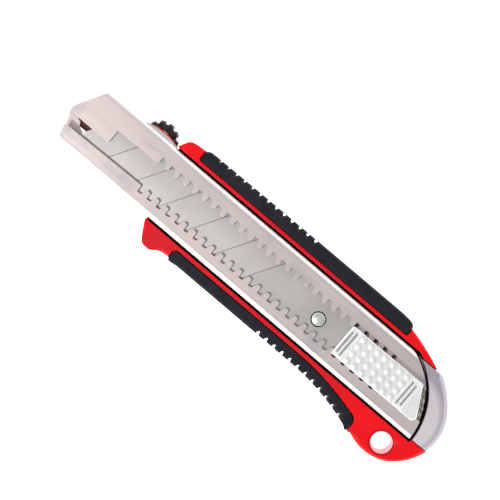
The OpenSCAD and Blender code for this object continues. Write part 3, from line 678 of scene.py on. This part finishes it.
# the front end of the spine side, from the grip's rear end round to the trough
SPINE_NOSE = [(59.4, 22.6), (58, 23.2), (-43.9, 23.2), (-48.3, 22.9), (-50.2, 22.4), (-51.2, 21.4),
              (-52.2, 19.7), (-53.2, TROUGH[1], 0.3)]
SPINE_TAIL = [(67.8, TROUGH[1]), (70.6, CAP_Y[1] + 0.4), (77.3, CAP_Y[1] + 0.4, 0.3)]
LOBE_LINE = arc(LOBE, LOBE_R, -116.5, -59.5, 24) + arc(LOBE_REAR, LOBE_REAR_R, -55.2, -18.6, 20)[1:]
LOBE_OVER = arc(LOBE_REAR, LOBE_REAR_R, -18.6, -8, 6)[1:]      # run on past the cap's joint, trimmed later
LOBE_END_Y = CAP_Y[0] - CAP_GAP - 0.05
SPINE_TAIL_ARC = arc(SPINE_REAR, SPINE_REAR_R, 65.3, 78.2, 16)
CAP_FACE_R = CAP_IN_R - CAP_GAP


def spine_side(x, y, big):
    """Rounding of the spine side's outer edge: full on the outside, thin where the tail runs out."""
    if y < TROUGH[1] + 0.3 and x < 70:
        return 0.28
    return max(min(big, 0.42 * (y - 16.4)), 0.15)


def edge_side(x, y, big, stop_big):
    """Rounding of the edge side's outer edge, growing towards the cap to meet its shoulder."""
    if x > 88:
        return big + max(0, min(1, (y + 17) / 6)) * (3.3 - big)
    if y > TROUGH[0] - 0.6:
        return 0.25
    return stop_big if x < -28 else big


def grip_room(margin, z0, z1):
    """Cutter for the strips outside the core, where the rubber is."""
    front, rear = SPINE_GRIP_X[0] - GRIP_PLAY - margin, SPINE_GRIP_X[1] + GRIP_PLAY + margin
    core_y = SPINE_OUT - GRIP_DEPTH
    edge = edge_run(EDGE_OUT + GRIP_DEPTH, -28.9 - margin, 65.9 + margin)
    return merged([prism("room", [(front, core_y), (rear, core_y), (rear, 28), (front, 28)], z0, z1),
                   prism("room", edge + [(66, -30), (-28.9, -30)], z0, z1)])


def grip_pockets():
    """Cutter for the deeper pockets in the rim that the rubber laps into."""
    front, rear, y = SPINE_GRIP_X[0] - GRIP_PLAY, SPINE_GRIP_X[1] + GRIP_PLAY, SPINE_IN - GROOVE
    spine = softened([(front, y, 0.9), (rear, y, 0.9), (rear, 28, 0), (front, 28, 0)], 0)
    edge = ([(-28.9, -30), (-28.9, EDGE_IN - 0.6), (-27.6, EDGE_IN + GROOVE)]
            + edge_run(EDGE_IN + GROOVE, -20, 61.5, GRIP_BOW)
            + arc(EDGE_GRIP_END, EDGE_GRIP_R + GROOVE, 64, 0, 10) + [(65.85, -30)])
    return merged([flared("pocket", spine, LEDGE, RIM, 0.22), flared("pocket", edge, LEDGE, RIM, 0.22)])


def front_holes():
    """Cutter for the jaw's pocket, the guide and body screws and the lanyard hole."""
    jaw_half = 7.22
    jaw = arc((CLAMP[0], GUIDE_Y - 12.15), 27.12, 90 - 15.5, 90 + 15.5, 16)
    jaw += [(CLAMP[0] - jaw_half, 11.5), (CLAMP[0] + jaw_half, 11.5)]
    cutters = [prism("jaw_pocket", jaw, SPLIT - 0.1, 9)]
    cutters += [lathe("hole", (x, GUIDE_Y), [(1.52, SPLIT - 1), (1.52, 9)]) for x in GUIDE_SCREW_X]
    cutters += [lathe("hole", p, [(1.12, SPLIT - 1), (1.12, SPLIT + 4.2)], 32) for p in SCREWS]
    wide = LANYARD_R + LANYARD_RIM + 0.1
    profile = [(LANYARD_R, SPLIT - 1), (LANYARD_R, RIM - LANYARD_RIM), (LANYARD_R + 0.2, RIM - 0.35),
               (wide, RIM + 0.02), (wide, RIM + 1)]
    cutters.append(lathe("lanyard", LANYARD, profile, 96))
    return merged(cutters)


def handle_front():
    """Front shell: two side rails, the floor between them, the tongue under the guide and the ear."""
    spine = softened(SPINE_TAIL + SPINE_TAIL_ARC + SPINE_NOSE, 0.8)
    shell = soft_slab("red_front_shell", spine, SPLIT, RIM, 0.12, lambda x, y: spine_side(x, y, 1.7))
    edge = softened(STOP + edge_run(EDGE_OUT, -28.6, 66.2) + LOBE_LINE + LOBE_OVER
                    + [(86.7, LOBE_OVER[-1][1], 0.15), (86.7, TROUGH[0], 0.15)], 0.6)
    arm = soft_slab("edge_arm", edge, SPLIT, RIM, 0.12, lambda x, y: edge_side(x, y, 2.0, 1.4))
    combine(arm, "INTERSECT", [block("trim", (-60, -40, 0), (120, LOBE_END_Y, 20))])
    floor = [(-44.5, -12)] + arc(CAP_IN, CAP_FACE_R, -2.4, 80.5, 60) + [(-44.5, 18)]
    tongue = [(-40, TONGUE_HALF), (-85.5, TONGUE_HALF), (-90.4, -1), (-89.6, -4.2), (-80, -4.2),
              (-76, -TONGUE_HALF), (-40, -TONGUE_HALF)]
    tongue = [(x, GUIDE_Y + y) for x, y in tongue]
    ear = [(-51.5, 14)] + arc((CLAMP[0], GUIDE_Y - 3.55), 18.85, 60, 120, 24) + [(-70.5, 14)]
    unite(shell, arm, soft_slab("floor", floor, SPLIT + 0.02, FLOOR_TOP, 0.1, 0.1, 1),
          block("sill", (-52.6, GUIDE_Y + 12, SPLIT + 0.01), (-43.5, TROUGH[1] + 0.2, FLOOR_TOP - 0.01)),
          block("sill", (-45.1, TROUGH[0] - 0.1, SPLIT + 0.01), (-44, TROUGH[0] + 1.9, FLOOR_TOP - 0.01)),
          soft_slab("tongue", softened(tongue, 0.8), TONGUE_LOW, FLOOR_TOP - 0.02, 0.3, 0.4, 4),
          soft_slab("ear", ear, TONGUE_LOW + 0.02, FLOOR_TOP - 0.04, 0.4, 0.5, 4))
    cut(shell, grip_pockets(), grip_room(0, SPLIT - 1, LEDGE + 0.5))
    cut(shell, front_holes(), lathe("stud_hole", CLAMP, [(2.1, 4), (2.1, 9)]))
    stand_for(shell, "handle_shell")


def handle_back():
    """Flat-backed rear cover: both sides and the floor between them in one outline."""
    face_r, over_y = CAP_IN_R - BACK_GAP, LOBE_OVER[-1][1]
    end_y, tail_y = CAP_Y[0] - BACK_GAP, CAP_Y[1] + BACK_GAP
    start, over = (math.degrees(math.asin((y - CAP_IN[1]) / face_r)) for y in (end_y, over_y))
    loop = (STOP + edge_run(EDGE_OUT, -28.6, 66.2) + LOBE_LINE + LOBE_OVER
            + arc(CAP_IN, face_r, over, 66.4, 42) + [(70.6, tail_y), (77.3, tail_y, 0.3)]
            + SPINE_TAIL_ARC + SPINE_NOSE + [(-44.5, TROUGH[1], 0.2), (-44.5, TROUGH[0], 0.1)])

    def low(x, y):
        from_cap = math.hypot(x - CAP_IN[0], y - CAP_IN[1])
        if from_cap < CAP_FACE_R + 0.1 and x > 60 and -10.5 < y < 17.8:
            return 0.15
        if x < -44 and TROUGH[0] - 0.6 < y < TROUGH[1] + 0.3:
            return 0.3
        return spine_side(x, y, 2.4 if x > 0 else 1.3) if y > 0 else edge_side(x, y, 2.6, 1.3)

    cover = soft_slab("red_back_cover", softened(loop, 0.6), 0, SPLIT - 0.05, low, 0.12)
    holes = [lathe("counterbore", p, [(1.95, -1), (1.95, 1.3), (1.2, 1.3001), (1.2, 9)], 40) for p in SCREWS]
    profile = [(LANYARD_R + 1.2, -0.5), (LANYARD_R + LANYARD_RIM, 0), (LANYARD_R, LANYARD_RIM),
               (LANYARD_R, 9)]
    holes.append(lathe("lanyard", LANYARD, profile, 96))
    cap_room = arc(CAP_IN, face_r, start, over, 8) + [(86.8, over_y + 0.8), (100, over_y + 0.8), (100, end_y)]
    cut(cover, prism("cap_room", cap_room, -1, 9), grip_room(0.05, -1, 8), merged(holes),
        block("hollow", (-42, TROUGH[0] + 1.5, 2.2), (118, TROUGH[1] - 1.5, 9)),
        block("tongue_room", (-60, GUIDE_Y - 12.6, 5.1), (-39.8, GUIDE_Y + 12.6, 9)))
    stand_for(cover, "back_cover")


def rib_cutter(x, y, tilt):
    """Upright groove that opens out over the top edge of the rubber."""
    top = GRIP_Z[1]
    profile = [(0.72, -1), (0.72, top - 1.7), (0.86, top - 0.9), (1.27, top + 0.05), (1.3, top + 1)]
    cutter = lathe("rib", (0, 0), profile, 24)
    cutter.data.transform(Matrix.Translation((x * MM, y * MM, 0)) @ Matrix.Rotation(tilt, 4, "Z")
                          @ Matrix.Diagonal((0.92, 1.8, 1, 1)))
    return cutter


def grip(name, node, loop, core_loop, ribs, high):
    """Rubber skin over the core: crowned top edge, ribs cut into its outer side."""
    body = soft_slab(name, loop, GRIP_Z[0], GRIP_Z[1], 0.5, high, 8)
    cut(body, prism("core", core_loop, 0, LEDGE), merged(ribs))
    stand_for(body, node)


def spine_grip():
    front, rear = SPINE_GRIP_X
    outer = [(x, SPINE_OUT - 0.00006 * (x - 45) ** 2) for x in (54 - 7.6 * i for i in range(13))]
    loop = (arc((rear - 1, SPINE_IN + 1), 1, -90, 0, 5)
            + arc((rear - 2.4, SPINE_OUT - 2.7), 2.4, 0, 85, 8) + outer
            + arc((front + 2.2, SPINE_OUT - 2.7), 2.2, 95, 180, 8)
            + arc((front + 1, SPINE_IN + 1), 1, 180, 270, 5))
    core_y = SPINE_OUT - GRIP_DEPTH
    core = [(front - 5, 10), (rear + 5, 10), (rear + 5, core_y), (front - 5, core_y)]
    ribs = [rib_cutter(-37.1 + RIB_PITCH * i, SPINE_OUT, 0) for i in range(13)]
    grip("spine_rubber", "spine_grip", loop, core, ribs, lambda x, y: 0.45 if y < SPINE_IN + 0.9 else 1.5)


def edge_grip():
    end = (EDGE_GRIP_END[0] + EDGE_GRIP_R - 0.8, -22.9)
    loop = ([(-28.8, EDGE_OUT + 0.7), (-28.2, EDGE_OUT - 0.3), (-27.2, EDGE_OUT - 0.4)]
            + edge_run(EDGE_OUT, -24, 63.2) + arc(end, 0.8, -75, 0, 4)
            + arc(EDGE_GRIP_END, EDGE_GRIP_R, 5, 65, 7)
            + edge_run(EDGE_IN, 61, -26.6, GRIP_BOW) + [(-28.3, EDGE_IN - 0.8)])
    core = [(-50, 0), (-50, EDGE_OUT + GRIP_DEPTH)] + edge_run(EDGE_OUT + GRIP_DEPTH, -49, 80) + [(80, 0)]
    ribs = []
    for x in (16.1 + RIB_PITCH * i for i in range(12)):
        slope = math.atan(2 * EDGE_BOW * max(x - EDGE_BEND_X, 0))
        ribs.append(rib_cutter(x, edge_line(EDGE_OUT + 0.15, x), -slope))

    def high(x, y):
        return 0.45 if y > edge_line(EDGE_IN, x, GRIP_BOW) - 1 and x < 62 else 1.4

    grip("edge_rubber", "edge_grip", loop, core, ribs, high)


# ------------------------------------------------------------------ end cap
def end_cap():
    """Two-part crescent: large round shoulders outside, both ends sliced off flat."""
    def on_arc(centre, r, y):
        return math.degrees(math.asin((y - centre[1]) / r))

    reach, join = CAP_WIDE_R - CAP_OUT_R, math.radians(CAP_JOIN)
    wide = (CAP_OUT[0] - reach * math.cos(join), CAP_OUT[1] - reach * math.sin(join))
    over = (-16, 17.3)
    outer = (arc(CAP_OUT, CAP_OUT_R, on_arc(CAP_OUT, CAP_OUT_R, over[0]), CAP_JOIN, 40)
             + arc(wide, CAP_WIDE_R, CAP_JOIN, on_arc(wide, CAP_WIDE_R, over[1]), 30)[1:])
    inner = arc(CAP_IN, CAP_IN_R, on_arc(CAP_IN, CAP_IN_R, over[1]), on_arc(CAP_IN, CAP_IN_R, over[0]), 60)
    outer_set = {(round(x, 4), round(y, 4)) for x, y in outer}

    def shoulder(big):
        return lambda x, y: big if (round(x, 4), round(y, 4)) in outer_set else 0.15

    plan = outer + inner
    front = soft_slab("cap_front_half", plan, SPLIT, CAP_TOP, 0.12, shoulder(3.6), 12)
    back = soft_slab("cap_back_half", plan, 0, SPLIT - 0.1, shoulder(3.0), 0.12, 12)
    for half in (front, back):
        combine(half, "INTERSECT", [block("slice", (50, CAP_Y[0], -1), (110, CAP_Y[1], 20))])
    cut(front, merged([lathe("hole", p, [(1.02, SPLIT - 1), (1.02, SPLIT + 3.2)], 32) for p in CAP_SCREWS]))
    prongs = cut(block("prongs", (66, -5, 2.4), (88, 9, 4.8)), block("between", (60, -2, 1), (74, 6, 6)))
    unite(back, prongs)
    seats = [lathe("seat", p, [(2.1, -1), (2.1, 1.2), (1.02, 1.2001), (1.02, 9)], 40) for p in CAP_SCREWS]
    cut(back, merged(seats), lathe("dimple", (69.5, 7.5), [(0.8, 4.2), (0.8, 6)], 24))
    stand_for(front, "cap_front")
    stand_for(back, "cap_back")


# ------------------------------------------------------------------ clamp wheel
def clamp_wheel():
    """Black thumb wheel: round flutes in the rim that run up over its sloping shoulder."""
    z0, z1 = WHEEL_Z
    bore = 3.42
    # radius, height, and the flute's depth inward and downward, from the axis below round the rim to the bore
    profile = [(0.3, z0 + 0.1, 0, 0), (3, z0 + 0.1, 0, 0), (3.3, z0, 0, 0), (5.4, z0, 0, 0),
               (6.3, z0 + 0.15, 0.6, 0), (6.9, z0 + 0.6, 1, 0), (WHEEL_R, z0 + 1.2, 1.1, 0),
               (WHEEL_R, z1 - 1.5, 1.1, 0), (7.05, z1 - 0.9, 1.1, 0.1), (6.6, z1 - 0.35, 1.0, 0.4),
               (6.0, z1 - 0.1, 0.7, 0.6), (5.2, z1, 0.3, 0.6), (4.5, z1, 0.1, 0.35), (3.9, z1, 0, 0.05),
               (bore, z1, 0, 0), (bore, z0 + 0.7, 0, 0), (0.3, z0 + 0.7, 0, 0)]
    per_lobe = 24
    count = WHEEL_LOBES * per_lobe
    rings = []
    for r, z, depth_in, depth_down in profile:
        ring = []
        for i in range(count):
            share = max(math.cos(2 * math.pi * (i % per_lobe) / per_lobe) + 0.1, 0) ** 1.2 / 1.12
            angle = 2 * math.pi * i / count + math.radians(WHEEL_FIRST)
            reach = r - depth_in * share
            x, y = CLAMP[0] + reach * math.cos(angle), CLAMP[1] + reach * math.sin(angle)
            ring.append((x, y, z - depth_down * share))
        rings.append(ring)
    stand_for(ring_stack("thumb_wheel", rings), "clamp_wheel")


# ------------------------------------------------------------------ slider
def softened_corner(corner, before, after, radius):
    loop = softened([before + (0,), corner + (radius,), after + (0,)], 0)
    return loop[1:-1]


def cover_outline(inset=0.0):
    """Cover seen from above with its slanted rear edge."""
    r, tail, slant = max(0.9 - inset, 0.1), 1.7, 5.6
    front, rear = COVER_X + inset, COVER_X + COVER_LEN - inset * 0.8
    low, high = COVER_Y - COVER_HALF + inset, COVER_Y + COVER_HALF - inset
    return (arc((front + r, high - r), r, 180, 90, 6)
            + softened_corner((rear, high), (rear - 3, high), (rear + slant, low), 0.3)
            + arc((rear + slant - tail * 0.6, low + tail), tail, 24, -90, 10)
            + arc((front + r, low + r), r, 270, 180, 6))


def rounded_box(x0, x1, y0, y1, r):
    return softened([(x0, y0), (x1, y0), (x1, y1), (x0, y1)], r)


def dome(x, y, base, rise, radius):
    profile = [(radius, base - 0.3)]
    for k in range(9):
        share = 1 - k / 8
        profile.append((radius * share + 0.02, base + rise * (1 - share ** 2.4)))
    return lathe("dome", (x, y), profile, 28)


def slider_cover():
    """Plated cover: crowned skin, raised end pads with two slots each and a field of domes."""
    top = COVER_Z[1]
    cover = soft_slab("plated_cover", cover_outline(), COVER_Z[0], top, 0.15, 0.38, 8)
    pads = []
    for start, end, half, corner in ((0.25, 4.3, 6.3, 0.7), (29.5, 34, 5.9, 0.6)):
        loop = rounded_box(COVER_X + start, COVER_X + end, COVER_Y - half, COVER_Y + half, corner)
        pads.append(soft_slab("pad", loop, top - 0.5, top + PAD_RISE, 0.05, 0.22, 4))
    pitch, rise, dome_r = 3.6, 0.25, 1.36
    domes = [dome(COVER_X + 6.6 + pitch * i, COVER_Y + (j - 1.5) * pitch * 0.93, top, rise, dome_r)
             for i in range(7) for j in range(4)]
    unite(cover, *pads, merged(domes))
    slots, lip = [], 0.12
    for x, length, wide in ((1.3, 10.2, 1.1), (3.0, 11.2, 1.1), (30.9, 11.0, 1.0), (32.7, 9.9, 1.0)):
        half, end = wide / 2 - lip, length / 2 - lip
        loop = rounded_box(COVER_X + x - half, COVER_X + x + half, COVER_Y - end, COVER_Y + end, 0.35)
        slots.append(flared("slot", loop, top + PAD_RISE - SLOT_DEEP, top + PAD_RISE, lip, 3))
    hollow = prism("hollow", cover_outline(0.9), COVER_Z[0] - 1, top - COVER_SKIN)
    cut(cover, merged(slots), hollow)
    for x in POSTS:
        post = (x, COVER_Y)
        socket = lathe("socket", post, [(2.5, COVER_Z[0] - 0.05), (2.5, top - COVER_SKIN + 0.2)], 40)
        unite(cover, cut(socket, lathe("bore", post, [(1.56, 10), (1.56, top - COVER_SKIN)], 40)))
    stand_for(cover, "slider_cover")


def hammered_block(low, high):
    """Block over the rear of the core with a creased and hammered top."""
    columns, rows = 90, 90
    x0, x1, y0, y1 = 66.0, 87.0, GUIDE_Y - 9, GUIDE_Y + 9
    vertices, faces = [], []
    for j in range(rows + 1):
        for i in range(columns + 1):
            x, y = x0 + (x1 - x0) * i / columns, y0 + (y1 - y0) * j / rows
            crease = 1 - abs(2 * noise.fractal(Vector((x * 0.75, y * 0.45, 3.1)), 0.6, 2.1, 3))
            lump = noise.noise(Vector((x * 1.3, y * 0.9, 7.7)))
            vertices.append((x, y, min(high - 0.42 + 0.34 * crease + 0.30 * lump, high + 0.02)))
    stride = columns + 1
    count = len(vertices)
    vertices += [(x, y, low + 0.05) for x, y, _ in vertices]
    for j in range(rows):
        for i in range(columns):
            a = j * stride + i
            faces.append((a, a + 1, a + 1 + stride, a + stride))
            faces.append((count + a, count + a + stride, count + a + 1 + stride, count + a + 1))
    rim = ([i for i in range(columns)] + [columns + stride * j for j in range(rows)]
           + [count - 1 - i for i in range(columns)] + [stride * (rows - j) for j in range(rows)])
    faces += [(b, a, count + a, count + b) for a, b in zip(rim, rim[1:] + rim[:1])]
    return new_object("relief", vertices, faces)


def slider_core():
    """Block under the cover: plain ahead, hammered and creased where it shows behind the cover."""
    low, high = 11.25, 12.55
    front, half, rear_r = 43.2, 8.5, CAP_IN_R - 1.25
    ends = [math.degrees(math.asin((GUIDE_Y + side - CAP_IN[1]) / rear_r)) for side in (-half, half)]
    plan = [(front, GUIDE_Y - half)] + arc(CAP_IN, rear_r, ends[0], ends[1], 40) + [(front, GUIDE_Y + half)]
    core = prism("core_block", plan, low, high - 0.6)
    relief = hammered_block(low, high)
    combine(relief, "INTERSECT", [prism("trim", plan, low - 0.5, high + 1)])
    unite(core, relief)
    cut(core, merged([lathe("hole", (x, COVER_Y), [(r + 0.02, low - 1), (r + 0.02, high + 1)], 32)
                      for x, r in [(x, 1.1) for x in RIVETS] + [(x, 1.5) for x in POSTS]]))
    stand_for(core, "slider_core")


# ------------------------------------------------------------------ kept CAD nodes
# width of the bevel on each one's edges
KEPT = {"guide_channel": 0.2, "blade": 0.06, "blade_carrier": 0.12, "blade_peg": 0.2, "lock_leaf": 0.08,
        "core_rivets": 0.1, "cover_posts": 0.1, "clamp_jaw": 0.25, "clamp_stud": 0.15, "clamp_washer": 0.08,
        "wheel_insert": 0.1, "body_screws": 0.12, "cap_screws": 0.12, "guide_screws": 0.12,
        "guide_bushes": 0.05, "guide_nuts": 0.12, "cap_clip": 0.08, "cover_springs": 0}

handle_front()
handle_back()
spine_grip()
edge_grip()
end_cap()
clamp_wheel()
slider_cover()
slider_core()
for node_name, width in KEPT.items():
    keep_cad(node_name, width)


# ------------------------------------------------------------------ floor, light and camera
def make_floor():
    bpy.ops.mesh.primitive_plane_add(size=5, location=(0, 0, -0.0006))
    floor = bpy.context.object
    floor.name = "floor"
    s = Shader("floor_paper")
    grain = s.noise(s.coords, 300, 2)
    s.link(s.mix(s.span(grain, 0, 1), (0.90, 0.90, 0.90), (0.92, 0.92, 0.92)), s.bsdf.inputs["Base Color"])
    s.set(Roughness=0.9, Specular_IOR_Level=0.1, Emission_Color=(1, 1, 1, 1), Emission_Strength=1.2)
    floor.data.materials.append(s.mat)


def area_light(name, location, size, power):
    data = bpy.data.lights.new(name, "AREA")
    data.shape = "RECTANGLE"
    data.size, data.size_y = size
    data.energy = power
    lamp = bpy.data.objects.new(name, data)
    bpy.context.scene.collection.objects.link(lamp)
    lamp.location = location
    lamp.rotation_euler = (-Vector(location)).to_track_quat("-Z", "Y").to_euler()


def make_world():
    """Studio surround: soft overhead, darker half-way down, bright white walls near the floor."""
    world = bpy.data.worlds.new("studio")
    bpy.context.scene.world = world
    world.use_nodes = True
    tree = world.node_tree
    background = tree.nodes["Background"]
    direction = tree.nodes.new("ShaderNodeTexCoord").outputs["Generated"]
    split = tree.nodes.new("ShaderNodeSeparateXYZ")
    ramp = tree.nodes.new("ShaderNodeValToRGB")
    tree.links.new(direction, split.inputs[0])
    tree.links.new(split.outputs["Z"], ramp.inputs["Fac"])
    stops = [(0.0, 1.0), (0.26, 1.0), (0.46, 0.15), (0.80, 0.13), (0.93, 0.165), (1.0, 0.17)]
    elements = ramp.color_ramp.elements
    while len(elements) < len(stops):
        elements.new(0.5)
    for element, (at, level) in zip(elements, stops):
        element.position = at
        element.color = (level, level, level, 1)
    tree.links.new(ramp.outputs["Color"], background.inputs["Color"])
    background.inputs["Strength"].default_value = 3.2


def make_camera():
    """Near-vertical view onto the slider face, rolled so that the knife runs down to the right."""
    distance, aim = 0.700, Vector((-0.00677, 0.00513, 0.008))
    lean_x, lean_y, roll = math.radians(0.79), math.radians(2.26), math.radians(40.3)
    frame_px, px_per_mm, sensor = 500, 2.6103, 36
    data = bpy.data.cameras.new("camera")
    data.sensor_width = sensor
    data.lens = px_per_mm * (distance / MM) / frame_px * sensor
    data.clip_start, data.clip_end = 0.05, 10
    camera = bpy.data.objects.new("camera", data)
    bpy.context.scene.collection.objects.link(camera)
    toward = Vector((math.tan(lean_x), math.tan(lean_y), 1)).normalized()
    right = Vector((0, 1, 0)).cross(toward).normalized()
    up = toward.cross(right)
    view_right = right * math.cos(roll) + up * math.sin(roll)
    view_up = up * math.cos(roll) - right * math.sin(roll)
    turn = Matrix((view_right, view_up, toward)).transposed().to_4x4()
    camera.matrix_world = Matrix.Translation(aim + toward * distance) @ turn
    bpy.context.scene.camera = camera


make_floor()
make_world()
area_light("key", (-0.22, -0.50, 0.84), (0.10, 0.10), 7)
make_camera()
bpy.context.scene.view_settings.view_transform = "Standard"
